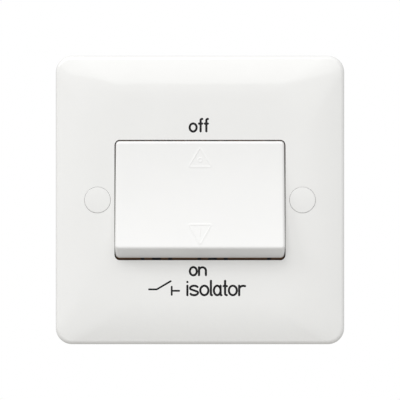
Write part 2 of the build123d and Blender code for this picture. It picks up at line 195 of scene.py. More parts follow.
class RidgeSettings(PropertyGroup):
    """Moulded signs on the face of the rocker."""

    inner_width: FloatProperty(
        name="Inner width", description="Width of the steep side of a triangle, towards its middle",
        unit="LENGTH", min=0, default=0.3 * MM)
    outer_width: FloatProperty(
        name="Outer width", description="Width of the gentle side of a triangle",
        unit="LENGTH", min=0, default=0.75 * MM)
    ridge_height: FloatProperty(
        name="Ridge height", description="Height of the triangles",
        unit="LENGTH", min=0, default=0.08 * MM)
    mark_width: FloatProperty(
        name="Mark width", description="Width of each side of the marks inside the triangles",
        unit="LENGTH", min=0, default=0.42 * MM)
    mark_height: FloatProperty(
        name="Mark height", description="Height of the marks inside the triangles",
        unit="LENGTH", min=0, default=0.08 * MM)
    face_height: FloatProperty(
        name="Face height", description="Middle of the dished face above the pivot",
        unit="LENGTH", min=0, default=10.35 * MM)
    dish_radius: FloatProperty(
        name="Dish radius", description="Radius of the hollow across the face",
        unit="LENGTH", min=0, default=178 * MM)


class SpringSettings(PropertyGroup):
    """Coil springs behind the plungers."""

    wire_radius: FloatProperty(
        name="Wire radius", description="Radius of the spring wire",
        unit="LENGTH", min=0, default=0.25 * MM)
    coil_radius: FloatProperty(
        name="Coil radius", description="Radius to the middle of the wire",
        unit="LENGTH", min=0, default=1.7 * MM)
    seat_low: FloatProperty(
        name="Plunger seat", description="Top of the plunger above the pivot",
        unit="LENGTH", default=3.0 * MM)
    seat_high: FloatProperty(
        name="Socket floor", description="Floor of the socket above the pivot",
        unit="LENGTH", default=7.5 * MM)
    turns: FloatProperty(
        name="Turns", description="Turns from end to end, with closed ends",
        min=1, default=4.0)


class ScrewSettings(PropertyGroup):
    """Screws at the back of the switch."""

    terminal_pitch: FloatProperty(
        name="Terminal thread pitch", description="Pitch of the terminal screws",
        unit="LENGTH", min=0, default=0.6 * MM)
    base_pitch: FloatProperty(
        name="Base thread pitch", description="Pitch of the thread-forming base screws",
        unit="LENGTH", min=0, default=0.9 * MM)
    segments: IntProperty(
        name="Segments", description="Sides of a turned screw", min=12, default=48)
    seed: IntProperty(
        name="Seed", description="Fixes the angles at which the screws stopped", min=0, default=7)


class StageSettings(PropertyGroup):
    """Floor, light and camera."""

    camera_distance: FloatProperty(
        name="Camera distance", description="From the wall plane to the camera",
        unit="LENGTH", min=0, default=0.494)
    lens: FloatProperty(
        name="Lens", description="Focal length on a 36 mm sensor",
        unit="CAMERA", min=1, default=148.4)
    floor_drop: FloatProperty(
        name="Floor drop", description="Depth of the floor below the switch",
        unit="LENGTH", min=0, default=0.75)
    front_power: FloatProperty(
        name="Front power", description="Power of the broad soft light above the camera",
        unit="POWER", min=0, default=30.0)
    top_power: FloatProperty(
        name="Top power",
        description="Power of the small light overhead that casts the shadow under the rocker",
        unit="POWER", min=0, default=9.0)
    left_power: FloatProperty(
        name="Left power",
        description="Power of the small light at the left that casts the shadow to the right",
        unit="POWER", min=0, default=11.6)
    light_distance: FloatProperty(
        name="Light distance", description="From the switch to each of the three lights",
        unit="LENGTH", min=0, default=2.4)
    room_light: FloatProperty(
        name="Room light", description="Brightness of the white room round the switch",
        min=0, default=0.56)


# Node helpers

def set_inputs(tree, node, values):
    """A node's inputs, by name or number, linked to sockets or set to plain values."""
    for key, value in values.items():
        if isinstance(value, bpy.types.NodeSocket):
            tree.links.new(value, node.inputs[key])
        else:
            node.inputs[key].default_value = value


def add_node(tree, kind, values=None, **settings):
    """A new node with its settings and inputs."""
    made = tree.nodes.new(kind)
    for key, value in settings.items():
        setattr(made, key, value)
    set_inputs(tree, made, values or {})
    return made


def maths(tree, operation, first, second=0.0):
    """Result of a Math node on numbers or sockets."""
    return add_node(tree, "ShaderNodeMath", {0: first, 1: second}, operation=operation).outputs[0]


def parts(tree, vector):
    """X, Y and Z of a vector."""
    return add_node(tree, "ShaderNodeSeparateXYZ", {0: vector}).outputs[:]


def combined(tree, x=0.0, y=0.0, z=0.0):
    """A vector from three numbers or sockets."""
    return add_node(tree, "ShaderNodeCombineXYZ", {0: x, 1: y, 2: z}).outputs[0]


def reach_along(tree, vector, axis):
    """How far a vector reaches along an axis."""
    return add_node(
        tree, "ShaderNodeVectorMath", {0: vector, 1: axis}, operation="DOT_PRODUCT").outputs["Value"]


def within(tree, value, half):
    """1 where a value is less than that away from zero."""
    return maths(tree, "LESS_THAN", maths(tree, "ABSOLUTE", value), half)


def new_finish(name):
    """An empty material: its tree, its Principled shader and object coordinates."""
    material = bpy.data.materials.new(name)
    material.use_nodes = True
    tree = material.node_tree
    tree.nodes.clear()
    shader = add_node(tree, "ShaderNodeBsdfPrincipled")
    add_node(tree, "ShaderNodeOutputMaterial", {"Surface": shader.outputs["BSDF"]})
    coordinates = add_node(tree, "ShaderNodeTexCoord").outputs["Object"]
    return material, tree, shader, coordinates


def grain(tree, coordinates, scale, stretch=(1, 1, 1), detail=3.0, roughness=0.55):
    """Noise value on stretched object coordinates."""
    mapped = add_node(tree, "ShaderNodeMapping", {"Vector": coordinates, "Scale": stretch})
    noise = add_node(tree, "ShaderNodeTexNoise", {
        "Vector": mapped.outputs["Vector"], "Scale": scale, "Detail": detail, "Roughness": roughness})
    return noise.outputs["Fac"]


def spread(tree, value, low, high, start=0.3, end=0.7):
    """A value carried over from one range to another."""
    return add_node(tree, "ShaderNodeMapRange", {
        "Value": value, "From Min": start, "From Max": end, "To Min": low, "To Max": high,
    }).outputs["Result"]


def tinted(tree, value, first, second, start=0.3, end=0.7):
    """A colour that runs from one to another with a value."""
    ramp = add_node(tree, "ShaderNodeValToRGB", {"Fac": value})
    for stop, place, colour in zip(ramp.color_ramp.elements, (start, end), (first, second)):
        stop.position = place
        stop.color = (*colour, 1)
    return ramp.outputs["Color"]


def relief(tree, height, strength, depth):
    """Normal of a surface with a bump from a noise value, with its depth in metres."""
    return add_node(tree, "ShaderNodeBump", {
        "Height": height, "Strength": strength, "Distance": depth}).outputs["Normal"]


def shade(colour, factor):
    """A colour made lighter or darker."""
    return tuple(min(1.0, channel * factor) for channel in colour)


# Finishes

def opening_walls(tree, place):
    """1 on the walls of the rocker's opening in the plate, from just below its face, where shade is painted.
    """
    across, depth, upward = parts(tree, place)
    inside = maths(tree, "MULTIPLY", within(tree, across, OPENING_HALF_WIDTH),
                   within(tree, upward, OPENING_HALF_HEIGHT))
    # Painted shade grows with depth below the face of the plate
    below = spread(tree, depth, 0.0, 1.0, PLATE_FACE + WALL_SHADE_START, PLATE_FACE + WALL_SHADE_FULL)
    return maths(tree, "MULTIPLY", inside, below)


def hidden_skirt(tree, place):
    """1 on the part of the rocker that stays below the face of the plate at both ends of its throw, where
    shade is painted.
    """
    arm = add_node(tree, "ShaderNodeVectorMath", {0: place, 1: PIVOT}, operation="SUBTRACT").outputs[0]
    height = reach_along(tree, arm, PUSH_AXIS)
    sideways = maths(tree, "ABSOLUTE", reach_along(tree, arm, ROCKER_UP))
    rise = maths(tree, "MULTIPLY", sideways, math.tan(ROCKER_TILT))
    level = (PIVOT.y - PLATE_FACE) / math.cos(ROCKER_TILT)
    # Painted shade on the skirt, full below the level the plate's face reaches
    return spread(tree, maths(tree, "ADD", height, rise), 1.0, 0.0,
                  level - SKIRT_SHADE_FULL, level + SKIRT_SHADE_END)


def patchy_dust_and_shade(tree, place, colour):
    """Dust and painted shade of that colour along the seam, and near-black painted shade at its breaks."""
    across = parts(tree, place)[0]
    cover = 1.0
    for middle, half in SHADE_BREAKS:
        off = maths(tree, "ABSOLUTE", maths(tree, "SUBTRACT", across, middle * MM))
        patch = spread(tree, off, 0.0, 1.0, (half - BREAK_BLUR) * MM, (half + BREAK_BLUR) * MM)
        cover = maths(tree, "MULTIPLY", patch, cover)
    return tinted(tree, cover, shade(colour, BREAK_SHADE), colour, start=0.0, end=1.0)


def glossy_white(name, colour, roughness, seam, dust_and_shade):
    """Polished thermoset moulding: faint clouding, soft ripple, handling haze, and dust and painted shade
    down its seam.
    """
    material, tree, shader, place = new_finish(name)
    cloud = grain(tree, place, scale=60, detail=2)
    haze = grain(tree, place, scale=140, stretch=(1, 1, 0.5), detail=1)
    ripple = grain(tree, place, scale=900, detail=2)
    clean = tinted(tree, cloud, shade(colour, 0.992), shade(colour, 1.006))
    # Painted shade in the seam, in the given colour, near black at its breaks
    shaded_seam = patchy_dust_and_shade(tree, place, dust_and_shade)
    seam_painted = add_node(tree, "ShaderNodeMix", {0: seam(tree, place), 6: clean, 7: shaded_seam}, data_type="RGBA")
    set_inputs(tree, shader, {
        "Base Color": seam_painted.outputs[2],
        "Roughness": spread(tree, haze, roughness * 0.85, roughness * 1.15, start=0.1, end=0.9),
        "Normal": relief(tree, ripple, strength=0.05, depth=0.01 * MM),
        "IOR": 1.52,
    })
    return material


def white_plate():
    """White of the plate and its caps, with dust and painted shade on the walls of the opening."""
    settings = bpy.context.scene.isolator_moulding
    return glossy_white(
        "white_plate", settings.plate_colour, settings.plate_roughness, opening_walls, WALL_DUST_AND_SHADE)


def white_rocker():
    """White of the rocker, with dust and painted shade on its hidden skirt."""
    settings = bpy.context.scene.isolator_moulding
    return glossy_white(
        "white_rocker", settings.rocker_colour, settings.rocker_roughness, hidden_skirt, SKIRT_DUST_AND_SHADE)


def dark_phenolic():
    """Dark phenolic moulding: mineral specks, flow marks and a dull skin."""
    material, tree, shader, place = new_finish("dark_phenolic")
    colour = bpy.context.scene.isolator_moulding.base_colour
    specks = grain(tree, place, scale=2600, detail=2)
    flow = grain(tree, place, scale=130, stretch=(1, 0.4, 0.4), detail=5)
    skin = grain(tree, place, scale=1500, detail=4)
    set_inputs(tree, shader, {
        "Base Color": tinted(tree, specks, shade(colour, 0.75), shade(colour, 1.7), start=0.35, end=0.75),
        "Roughness": spread(tree, flow, 0.34, 0.56),
        "Normal": relief(tree, skin, strength=0.2, depth=0.02 * MM),
    })
    return material


def natural_nylon():
    """Natural nylon: milky, faintly yellow, with a soft drawn sheen."""
    material, tree, shader, place = new_finish("natural_nylon")
    milk = grain(tree, place, scale=350, detail=3)
    draw = grain(tree, place, scale=1400, stretch=(1, 0.15, 1), detail=3)
    set_inputs(tree, shader, {
        "Base Color": tinted(tree, milk, (0.72, 0.69, 0.6), (0.8, 0.78, 0.71)),
        "Roughness": spread(tree, draw, 0.3, 0.48),
        "Normal": relief(tree, draw, strength=0.12, depth=0.01 * MM),
        "Subsurface Weight": 0.15,
        "Subsurface Radius": (1.0 * MM, 0.9 * MM, 0.7 * MM),
    })
    return material


def worked_metal(name, bright, dull, stretch, roughness, scale):
    """Metal with tool or rolling marks along one way and patches of tarnish."""
    material, tree, shader, place = new_finish(name)
    marks = grain(tree, place, scale, stretch, detail=5, roughness=0.65)
    tarnish = grain(tree, place, scale=160, detail=4)
    set_inputs(tree, shader, {
        "Base Color": tinted(tree, tarnish, dull, bright, start=0.35, end=0.6),
        "Roughness": spread(tree, marks, roughness * 0.7, roughness * 1.4),
        "Normal": relief(tree, marks, strength=0.18, depth=0.012 * MM),
        "Metallic": 1.0,
    })
    return material


def printed_ink():
    """Pad-printed ink: near black, slightly uneven in cover and gloss."""
    material, tree, shader, place = new_finish("printed_ink")
    colour = bpy.context.scene.isolator_print.ink_colour
    cover = grain(tree, place, scale=2200, detail=4)
    set_inputs(tree, shader, {
        "Base Color": tinted(tree, cover, shade(colour, 0.7), shade(colour, 1.5)),
        "Roughness": spread(tree, cover, 0.5, 0.68),
        "Normal": relief(tree, cover, strength=0.1, depth=0.004 * MM),
        "Specular IOR Level": 0.15,
    })
    return material


METALS = {
    "spring_steel": dict(
        name="spring_steel", bright=(0.56, 0.55, 0.53), dull=(0.38, 0.37, 0.36),
        stretch=(1, 1, 1), roughness=0.26, scale=1800),
    "copper_strip": dict(
        name="rolled_copper", bright=(0.86, 0.5, 0.36), dull=(0.62, 0.31, 0.2),
        stretch=(1, 1, 0.06), roughness=0.3, scale=900),
    "contact_silver": dict(
        name="contact_silver", bright=(0.88, 0.87, 0.84), dull=(0.66, 0.63, 0.57),
        stretch=(1, 1, 1), roughness=0.24, scale=1500),
    "brass": dict(
        name="machined_brass", bright=(0.83, 0.64, 0.32), dull=(0.62, 0.44, 0.2),
        stretch=(1, 0.08, 1), roughness=0.28, scale=900),
    "plated_steel": dict(
        name="zinc_plate", bright=(0.72, 0.72, 0.7), dull=(0.5, 0.51, 0.5),
        stretch=(1, 0.3, 1), roughness=0.32, scale=1200),
}
OTHER_FINISHES = {
    "white_moulding": white_plate, "white_rocker": white_rocker, "dark_moulding": dark_phenolic,
    "nylon": natural_nylon, "ink": printed_ink}
FINISHES = {}


def finish(slot):
    """The finish of that slot, made the first time it is asked for."""
    if slot not in FINISHES:
        FINISHES[slot] = worked_metal(**METALS[slot]) if slot in METALS else OTHER_FINISHES[slot]()
    return FINISHES[slot]


# Piece helpers

def dress_node(name, slot, edge=0.0):
    """A finish for a CAD node, and softened edges where the moulding or stamping has them."""
    node = frame["nodes"][name]
    node.data.materials.clear()
    node.data.materials.append(finish(slot))
    if edge:
        node.modifiers.new("closed", "WELD").merge_threshold = WELD_GAP
        flats = node.modifiers.new("flats", "DECIMATE")
        flats.decimate_type = "DISSOLVE"
        flats.angle_limit = FLAT_TURN
        bevel = node.modifiers.new("edges", "BEVEL")
        bevel.width = edge
        bevel.segments = EDGE_STEPS
        bevel.limit_method = "ANGLE"
        bevel.angle_limit = EDGE_TURN
        bevel.harden_normals = True


def pole_middle(pole):
    """X of the middle of a pole, from its plunger."""
    low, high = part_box(f"plunger_{pole}")
    return (low.x + high.x) / 2


def line_mesh(name, strokes):
    """A mesh of edges, one run for each stroke; a stroke is (points, closed)."""
    points, edges = [], []
    for run, closed in strokes:
        start = len(points)
        points += [Vector(point) for point in run]
        edges += [(start + i, start + i + 1) for i in range(len(run) - 1)]
        if closed:
            edges.append((len(points) - 1, start))
    mesh = bpy.data.meshes.new(name)
    mesh.from_pydata(points, edges, [])
    return mesh


def turned_mesh(name, profile, segments):
    """A closed turned shape about Y from (radius, y) steps that start and end on the axis."""
    points, faces, rings = [], [], []
    for radius, height in profile:
        if radius == 0:
            rings.append([len(points)])
            points.append((0, height, 0))
        else:
            rings.append(list(range(len(points), len(points) + segments)))
            for step in range(segments):
                angle = math.tau * step / segments
                points.append((radius * math.sin(angle), height, radius * math.cos(angle)))
    for low, high in zip(rings, rings[1:]):
        for step in range(segments):
            after = (step + 1) % segments
            if len(low) == 1:
                faces.append((high[step], high[after], low[0]))
            elif len(high) == 1:
                faces.append((high[0], low[after], low[step]))
            else:
                faces.append((high[step], high[after], low[after], low[step]))
    mesh = bpy.data.meshes.new(name)
    mesh.from_pydata(points, [], faces)
    return mesh


def grown(name, mesh, tree, keys, values, body, place=None):
    """The plain mesh that a tree makes from a start mesh, riding on a body."""
    seed = bpy.data.objects.new(name + "_seed", mesh)
    bpy.context.scene.collection.objects.link(seed)
    modifier = seed.modifiers.new("grown", "NODES")
    modifier.node_group = tree
    for label, value in values.items():
        modifier[keys[label]] = value
    seed.update_tag()
    graph = bpy.context.evaluated_depsgraph_get()
    made = bpy.data.meshes.new_from_object(seed.evaluated_get(graph), depsgraph=graph)
    seed.modifiers.remove(modifier)
    bpy.data.objects.remove(seed)
    if not made.polygons:
        raise RuntimeError(f"{name} came out empty")
    if place is not None:
        made.transform(place)
    made.name = name
    piece = bpy.data.objects.new(name, made)
    bpy.context.scene.collection.objects.link(piece)
    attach(piece, body)
    return piece


# Geometry trees

def new_tree(name, inputs):
    """A geometry tree with named inputs, with its input sockets, output node and input identifiers."""
    tree = bpy.data.node_groups.new(name, "GeometryNodeTree")
    tree.interface.new_socket("Geometry", in_out="INPUT", socket_type="NodeSocketGeometry")
    tree.interface.new_socket("Geometry", in_out="OUTPUT", socket_type="NodeSocketGeometry")
    keys = {}
    for label, kind in inputs:
        socket = tree.interface.new_socket(label, in_out="INPUT", socket_type=f"NodeSocket{kind}")
        keys[label] = socket.identifier
    given = tree.nodes.new("NodeGroupInput").outputs
    leave = tree.nodes.new("NodeGroupOutput")
    return tree, given, leave, keys


def close_tree(tree, geometry, material, leave):
    """Smooth shading, real geometry and the finish, as the end of every tree."""
    smooth = add_node(tree, "GeometryNodeSetShadeSmooth", {"Geometry": geometry})
    real = add_node(tree, "GeometryNodeRealizeInstances", {"Geometry": smooth.outputs[0]})
    painted = add_node(tree, "GeometryNodeSetMaterial", {"Geometry": real.outputs[0], "Material": material})
    tree.links.new(painted.outputs[0], leave.inputs[0])


def points_of(tree):
    """X, Y and Z of each point of a geometry."""
    return parts(tree, add_node(tree, "GeometryNodeInputPosition").outputs[0])


def moved_to(tree, geometry, position, selection=True):
    """Geometry with its selected points at new places."""
    return add_node(tree, "GeometryNodeSetPosition", {
        "Geometry": geometry, "Selection": selection, "Position": position}).outputs[0]


def swept(tree, curve, section):
    """A closed bar of that section along a curve."""
    return add_node(tree, "GeometryNodeCurveToMesh", {
        "Curve": curve, "Profile Curve": section, "Fill Caps": True}).outputs[0]


def circle(tree, radius, sides):
    """A round section."""
    return add_node(tree, "GeometryNodeCurvePrimitiveCircle", {
        "Resolution": sides, "Radius": radius}).outputs[0]


def stroke_tree():
    """Round-ended strokes along edges, pressed flat on the plate."""
    tree, given, leave, keys = new_tree("printed strokes", [
        ("Stroke Width", "Float"), ("Ink Height", "Float"), ("Face", "Float"), ("Material", "Material")])
    face = given["Face"]
    radius = maths(tree, "MULTIPLY", given["Stroke Width"], 0.5)
    curve = add_node(tree, "GeometryNodeMeshToCurve", {"Mesh": given["Geometry"]}).outputs[0]
    tube = swept(tree, curve, circle(tree, radius, STROKE_SIDES))
    ends = add_node(tree, "GeometryNodeCurveEndpointSelection").outputs[0]
    ball = add_node(tree, "GeometryNodeMeshUVSphere", {
        "Segments": STROKE_END_SIDES, "Rings": STROKE_END_RINGS, "Radius": radius}).outputs[0]
    dots = add_node(tree, "GeometryNodeInstanceOnPoints", {
        "Points": curve, "Selection": ends, "Instance": ball}).outputs[0]
    whole = add_node(tree, "GeometryNodeJoinGeometry")
    tree.links.new(tube, whole.inputs[0])
    tree.links.new(dots, whole.inputs[0])
    real = add_node(tree, "GeometryNodeRealizeInstances", {"Geometry": whole.outputs[0]}).outputs[0]
    across, depth, upward = points_of(tree)
    press = maths(tree, "DIVIDE", given["Ink Height"], radius)
    stand = maths(tree, "MULTIPLY", maths(tree, "SUBTRACT", depth, face), press)
    flat = combined(tree, across, maths(tree, "ADD", stand, face), upward)
    close_tree(tree, moved_to(tree, real, flat), given["Material"], leave)
    return tree, keys


def ridge_tree():
    """Ridges with a steep and a gentle side along edges drawn on a flat, laid over the dished face."""
    tree, given, leave, keys = new_tree("moulded ridges", [
        ("Inner Width", "Float"), ("Outer Width", "Float"), ("Ridge Height", "Float"), ("Seat", "Float"),
        ("Face Height", "Float"), ("Dish Radius", "Float"), ("Tilt", "Vector"), ("Pivot", "Vector"),
        ("Material", "Material")])
    run = add_node(tree, "GeometryNodeMeshToCurve", {"Mesh": given["Geometry"]}).outputs[0]
    level = add_node(tree, "GeometryNodeSetCurveNormal", {"Curve": run}, mode="Z_UP").outputs[0]
    seat, width = given["Seat"], given["Outer Width"]
    inward = maths(tree, "MULTIPLY", given["Inner Width"], -1.0)
    crest = maths(tree, "MULTIPLY", given["Ridge Height"], -1.0)
    shoulder = combined(tree, maths(tree, "MULTIPLY", width, SHOULDER_OUT),
                        maths(tree, "MULTIPLY", crest, SHOULDER_UP))
    section = add_node(tree, "GeometryNodeCurvePrimitiveQuadrilateral", {
        "Point 1": combined(tree, inward, seat), "Point 2": combined(tree, y=crest),
        "Point 3": shoulder, "Point 4": combined(tree, width, seat)}, mode="POINTS").outputs[0]
    strip = swept(tree, level, section)
    across, upward, stand = points_of(tree)
    dish = given["Dish Radius"]
    inside = maths(tree, "SUBTRACT", maths(tree, "MULTIPLY", dish, dish),
                   maths(tree, "MULTIPLY", upward, upward))
    rise = maths(tree, "SUBTRACT", dish, maths(tree, "SQRT", inside))
    face = maths(tree, "ADD", given["Face Height"], rise)
    forward = maths(tree, "MULTIPLY", maths(tree, "ADD", face, stand), -1.0)
    laid = moved_to(tree, strip, combined(tree, across, forward, upward))
    turn = add_node(tree, "FunctionNodeEulerToRotation", {0: given["Tilt"]})
    tilted = add_node(tree, "GeometryNodeTransform", {
        "Geometry": laid, "Translation": given["Pivot"], "Rotation": turn.outputs[0]})
    close_tree(tree, tilted.outputs[0], given["Material"], leave)
    return tree, keys


def coil_tree():
    """Round wire on a helix whose ends close up."""
    tree, given, leave, keys = new_tree("closed coil", [
        ("Wire Radius", "Float"), ("Coil Radius", "Float"), ("Height", "Float"), ("Turns", "Float"),
        ("Material", "Material")])
    radius, height = given["Coil Radius"], given["Height"]
    spiral = add_node(tree, "GeometryNodeCurveSpiral", {
        "Resolution": COIL_STEPS, "Rotations": given["Turns"],
        "Start Radius": radius, "End Radius": radius, "Height": height})
    share = add_node(tree, "GeometryNodeSplineParameter").outputs["Factor"]
    rise = add_node(tree, "ShaderNodeMapRange", {"Value": share, "To Max": height},
                    interpolation_type="SMOOTHSTEP")
    across, upward = points_of(tree)[:2]
    helix = moved_to(tree, spiral.outputs[0], combined(tree, across, upward, rise.outputs["Result"]))
    wire = swept(tree, helix, circle(tree, given["Wire Radius"], WIRE_SIDES))
    close_tree(tree, wire, given["Material"], leave)
    return tree, keys


def screw_tree():
    """A turned blank with a rolled thread and a cut drive, set at every place."""
    tree, given, leave, keys = new_tree("screw set", [
        ("Places", "Object"), ("Pitch", "Float"), ("Thread Depth", "Float"), ("Thread Start", "Float"),
        ("Thread End", "Float"), ("Head Top", "Float"), ("Drive Width", "Float"), ("Drive Length", "Float"),
        ("Cross Length", "Float"), ("Drive Depth", "Float"), ("Seed", "Int"), ("Material", "Material")])
    across, along, upward = points_of(tree)
    # The thread: a groove with sloping flanks that climbs one pitch for each turn about the axis
    turned = maths(tree, "DIVIDE", maths(tree, "ARCTAN2", across, upward), math.tau)
    climbed = maths(tree, "DIVIDE", along, given["Pitch"])
    phase = maths(tree, "FRACT", maths(tree, "SUBTRACT", climbed, turned))
    flank = maths(tree, "ABSOLUTE", maths(tree, "SUBTRACT", maths(tree, "MULTIPLY", phase, 2.0), 1.0))
    root = maths(tree, "MULTIPLY", maths(tree, "SUBTRACT", 1.0, flank), given["Thread Depth"])
    radius = maths(tree, "SQRT", maths(tree, "ADD", maths(tree, "MULTIPLY", across, across),
                                       maths(tree, "MULTIPLY", upward, upward)))
    keep = maths(tree, "DIVIDE", maths(tree, "SUBTRACT", radius, root),
                 maths(tree, "MAXIMUM", radius, LEAST_RADIUS))
    threaded = combined(tree, maths(tree, "MULTIPLY", across, keep), along,
                        maths(tree, "MULTIPLY", upward, keep))
    band = maths(tree, "MULTIPLY", maths(tree, "GREATER_THAN", along, given["Thread Start"]),
                 maths(tree, "LESS_THAN", along, given["Thread End"]))
    body = moved_to(tree, given["Geometry"], threaded, band)
    # The drive: two crossed blocks, sunk to half their depth in the top of the head
    cut = add_node(tree, "GeometryNodeMeshBoolean", {"Mesh 1": body}, operation="DIFFERENCE", solver="EXACT")
    middle = combined(tree, y=given["Head Top"])
    twice = maths(tree, "MULTIPLY", given["Drive Depth"], 2.0)
    for width, length in (("Drive Width", "Drive Length"), ("Cross Length", "Drive Width")):
        size = combined(tree, given[width], twice, given[length])
        block = add_node(tree, "GeometryNodeMeshCube", {"Size": size})
        sunk = add_node(tree, "GeometryNodeTransform", {"Geometry": block.outputs[0], "Translation": middle})
        tree.links.new(sunk.outputs[0], cut.inputs["Mesh 2"])
    # Every screw stopped at an angle of its own
    chance = add_node(tree, "FunctionNodeRandomValue", {"Seed": given["Seed"]}, data_type="FLOAT")
    stop = combined(tree, y=maths(tree, "MULTIPLY", chance.outputs[1], math.pi))
    turn = add_node(tree, "FunctionNodeEulerToRotation", {0: stop})
    places = add_node(tree, "GeometryNodeObjectInfo", {"Object": given["Places"]})
    screws = add_node(tree, "GeometryNodeInstanceOnPoints", {
        "Points": places.outputs["Geometry"], "Instance": cut.outputs[0], "Rotation": turn.outputs[0]})
    close_tree(tree, screws.outputs[0], given["Material"], leave)
    return tree, keys


# Strokes, drawn in millimetres as (x, z); a stroke is (points, closed)

def line(*points):
    """An open stroke through some points."""
    return list(points), False


def arc(middle_x, middle_z, radius_x, radius_z, start, end, steps=20):
    """Points on an ellipse between two angles in degrees, anticlockwise from the right."""
    run = []
    for step in range(steps + 1):
        angle = math.radians(start + (end - start) * step / steps)
        run.append((middle_x + radius_x * math.cos(angle), middle_z + radius_z * math.sin(angle)))
    return run


def oval(middle_x, middle_z, radius_x, radius_z):
    """A closed oval stroke."""
    last = OVAL_STEPS - 1
    return arc(middle_x, middle_z, radius_x, radius_z, 0, 360 * last / OVAL_STEPS, last), True


def tailed_stem(x, top, foot, tail, steps=6):
    """A stem whose foot turns to the right."""
    turn = arc(x + tail, foot + tail, tail, tail, 180, 270, steps)
    return line((x, top), (x, foot + tail), *turn)


def letter_f(stem, foot, top, bar, hook):
    """An f: a stem with a short hook, and its bar."""
    bend, half_bar = 0.42, hook * 0.97
    turn = arc(stem + bend, top - bend, bend, bend, 180, 90, 8)
    return [
        line((stem, foot), (stem, top - bend), *turn, (stem + hook, top)),
        line((stem - half_bar, bar), (stem + half_bar, bar)),
    ]


def letter_n(left, right, foot, top):
    """An n: a stem and an arch."""
    half = (right - left) / 2
    arch = arc(left + half, top - half, half, half, 180, 0)
    return [line((left, foot), (left, top)), line(*arch, (right, foot))]


def letter_s(middle, foot, top, half):
    """An s of two open bowls."""
    quarter = (top - foot) / 4
    upper = arc(middle, top - quarter, half, quarter, 28, 210, 18)
    lower = arc(middle, foot + quarter, half, quarter, 30, -152, 18)
    return [line(*upper, *lower)]


def word_off():
    """Strokes of the word above the rocker."""
    foot, top, bar = 20.2, 23.84, 22.47
    return [
        oval(-2.02, 21.32, 1.02, 1.18),
        *letter_f(0.18, foot, top, bar, 0.47),
        *letter_f(1.87, foot, top, bar, 0.45),
    ]


def word_on():
    """Strokes of the word below the rocker."""
    return [oval(-1.96, -20.95, 1.02, 1.2), *letter_n(-0.28, 1.735, -22.08, -19.8)]


def word_isolator():
    """Strokes of the word beside the circuit sign."""
    foot, top, tall, bar = -27.99, -25.22, -23.79, -25.32
    middle, half = (foot + top) / 2, (top - foot) / 2
    letter_i = [line((-3.71, foot), (-3.71, top)), line((-3.71, -24.13), (-3.71, -24.1))]
    letter_l = [tailed_stem(3.21, tall, foot, 0.3)]
    letter_a = [oval(5.07, middle, 0.99, half), tailed_stem(6.06, top, foot, 0.25)]
    letter_t = [tailed_stem(7.38, tall, foot, 0.5, 8), line((6.93, bar), (7.9, bar))]
    shoulder = arc(12.75, top - 1.0, 1.2, 0.98, 175, 66, 12)
    letter_r = [line((11.53, foot), (11.53, top)), line(*shoulder)]
    return [
        *letter_i, *letter_s(-1.75, foot, top, 1.15), oval(1.28, middle, 1.2, half), *letter_l,
        *letter_a, *letter_t, oval(9.66, middle, 1.17, half), *letter_r]


def circuit_sign():
    """Strokes of the isolator's circuit sign."""
    return [
        line((-15.0, -26.29), (-12.71, -26.29), (-8.63, -23.88)),
        line((-8.32, -25.5), (-8.32, -27.9)),
        line((-8.32, -26.71), (-6.12, -26.71)),
    ]


def on_plate(strokes):
    """Strokes in millimetres carried over to the face of the plate."""
    return [([(x * MM, PLATE_FACE, z * MM) for x, z in run], closed) for run, closed in strokes]


def on_flat(strokes):
    """Strokes in millimetres carried over to the flat on which ridges are drawn."""
    return [([(x * MM, z * MM, 0) for x, z in run], closed) for run, closed in strokes]


def rounded_loop(corners, radius, steps=6):
    """A closed outline of (x, z) corners with round turns."""
    run = []
    count = len(corners)
    for i, corner in enumerate(corners):
        here = Vector(corner)
        to_last = (Vector(corners[i - 1]) - here).normalized()
        to_next = (Vector(corners[(i + 1) % count]) - here).normalized()
        half = to_last.angle(to_next) / 2
        reach = radius / math.tan(half)
        first, last = here + to_last * reach, here + to_next * reach
        for step in range(steps + 1):
            share = step / steps
            run.append(tuple(first.lerp(here, share).lerp(here.lerp(last, share), share)))
    return run, True


def divided(stroke, step=0.5):
    """A stroke with its long stretches divided, so that it can follow a curved face."""
    points, closed = stroke
    ends = points[1:] + points[:1] if closed else points[1:]
    fine = []
    for first, last in zip(points, ends):
        pieces = max(1, round((Vector(last) - Vector(first)).length / step))
        fine += [tuple(Vector(first).lerp(Vector(last), i / pieces)) for i in range(pieces)]
    return (fine if closed else fine + [points[-1]]), closed


def sign_triangles():
    """The off triangle and the on triangle, anticlockwise."""
    return [divided(rounded_loop(corners, TRIANGLE_CORNER)) for corners in (OFF_TRIANGLE, ON_TRIANGLE)]


def sign_marks():
    """The ring and the bar inside the triangles."""
    return [divided(oval(*OFF_MARK_MIDDLE, OFF_MARK_RADIUS, OFF_MARK_RADIUS)), divided(line(*ON_MARK))]


# Kinds of screw

class ScrewKind(NamedTuple):
    """Sizes of one kind of screw in millimetres, with heights along Y from the wall plane."""

    tip: float  # height of the tip
    seat: float  # height of the underside of the head
    top: float  # height of the top of the head
    shank: float  # radius of the shank
    head: float  # radius of the head
    point: tuple  # radius and rise above the tip of each step of the point
    first_ring: float  # rise of the first ring of the shank above the tip
    last_ring: float  # drop of its last ring below the seat
    rings: int  # steps from the first ring to the last
    thread_start: float  # rise of the start of the thread above the tip
    thread_end: float  # drop of its end below the seat
    neck: float  # length of the plain neck under the head
    chamfer: float  # bevel of the underside of the head
    rim: float  # rounding of the rim of the head
    flat: float  # radius of the flat on the head
    thread_depth: float
    drive_width: float
    drive_length: float
    cross_length: float
    drive_depth: float


# Cheese head with a slot
TERMINAL_SCREW = ScrewKind(
    tip=13.7, seat=17.6, top=19.6, shank=1.75, head=2.9, point=((1.35, 0.0), (1.7, 0.35)),
    first_ring=0.4, last_ring=0.25, rings=64, thread_start=0.36, thread_end=0.22, neck=0.2,
    chamfer=0.12, rim=0.3, flat=1.45, thread_depth=0.24,
    drive_width=0.8, drive_length=8.7, cross_length=0.4, drive_depth=1.0)

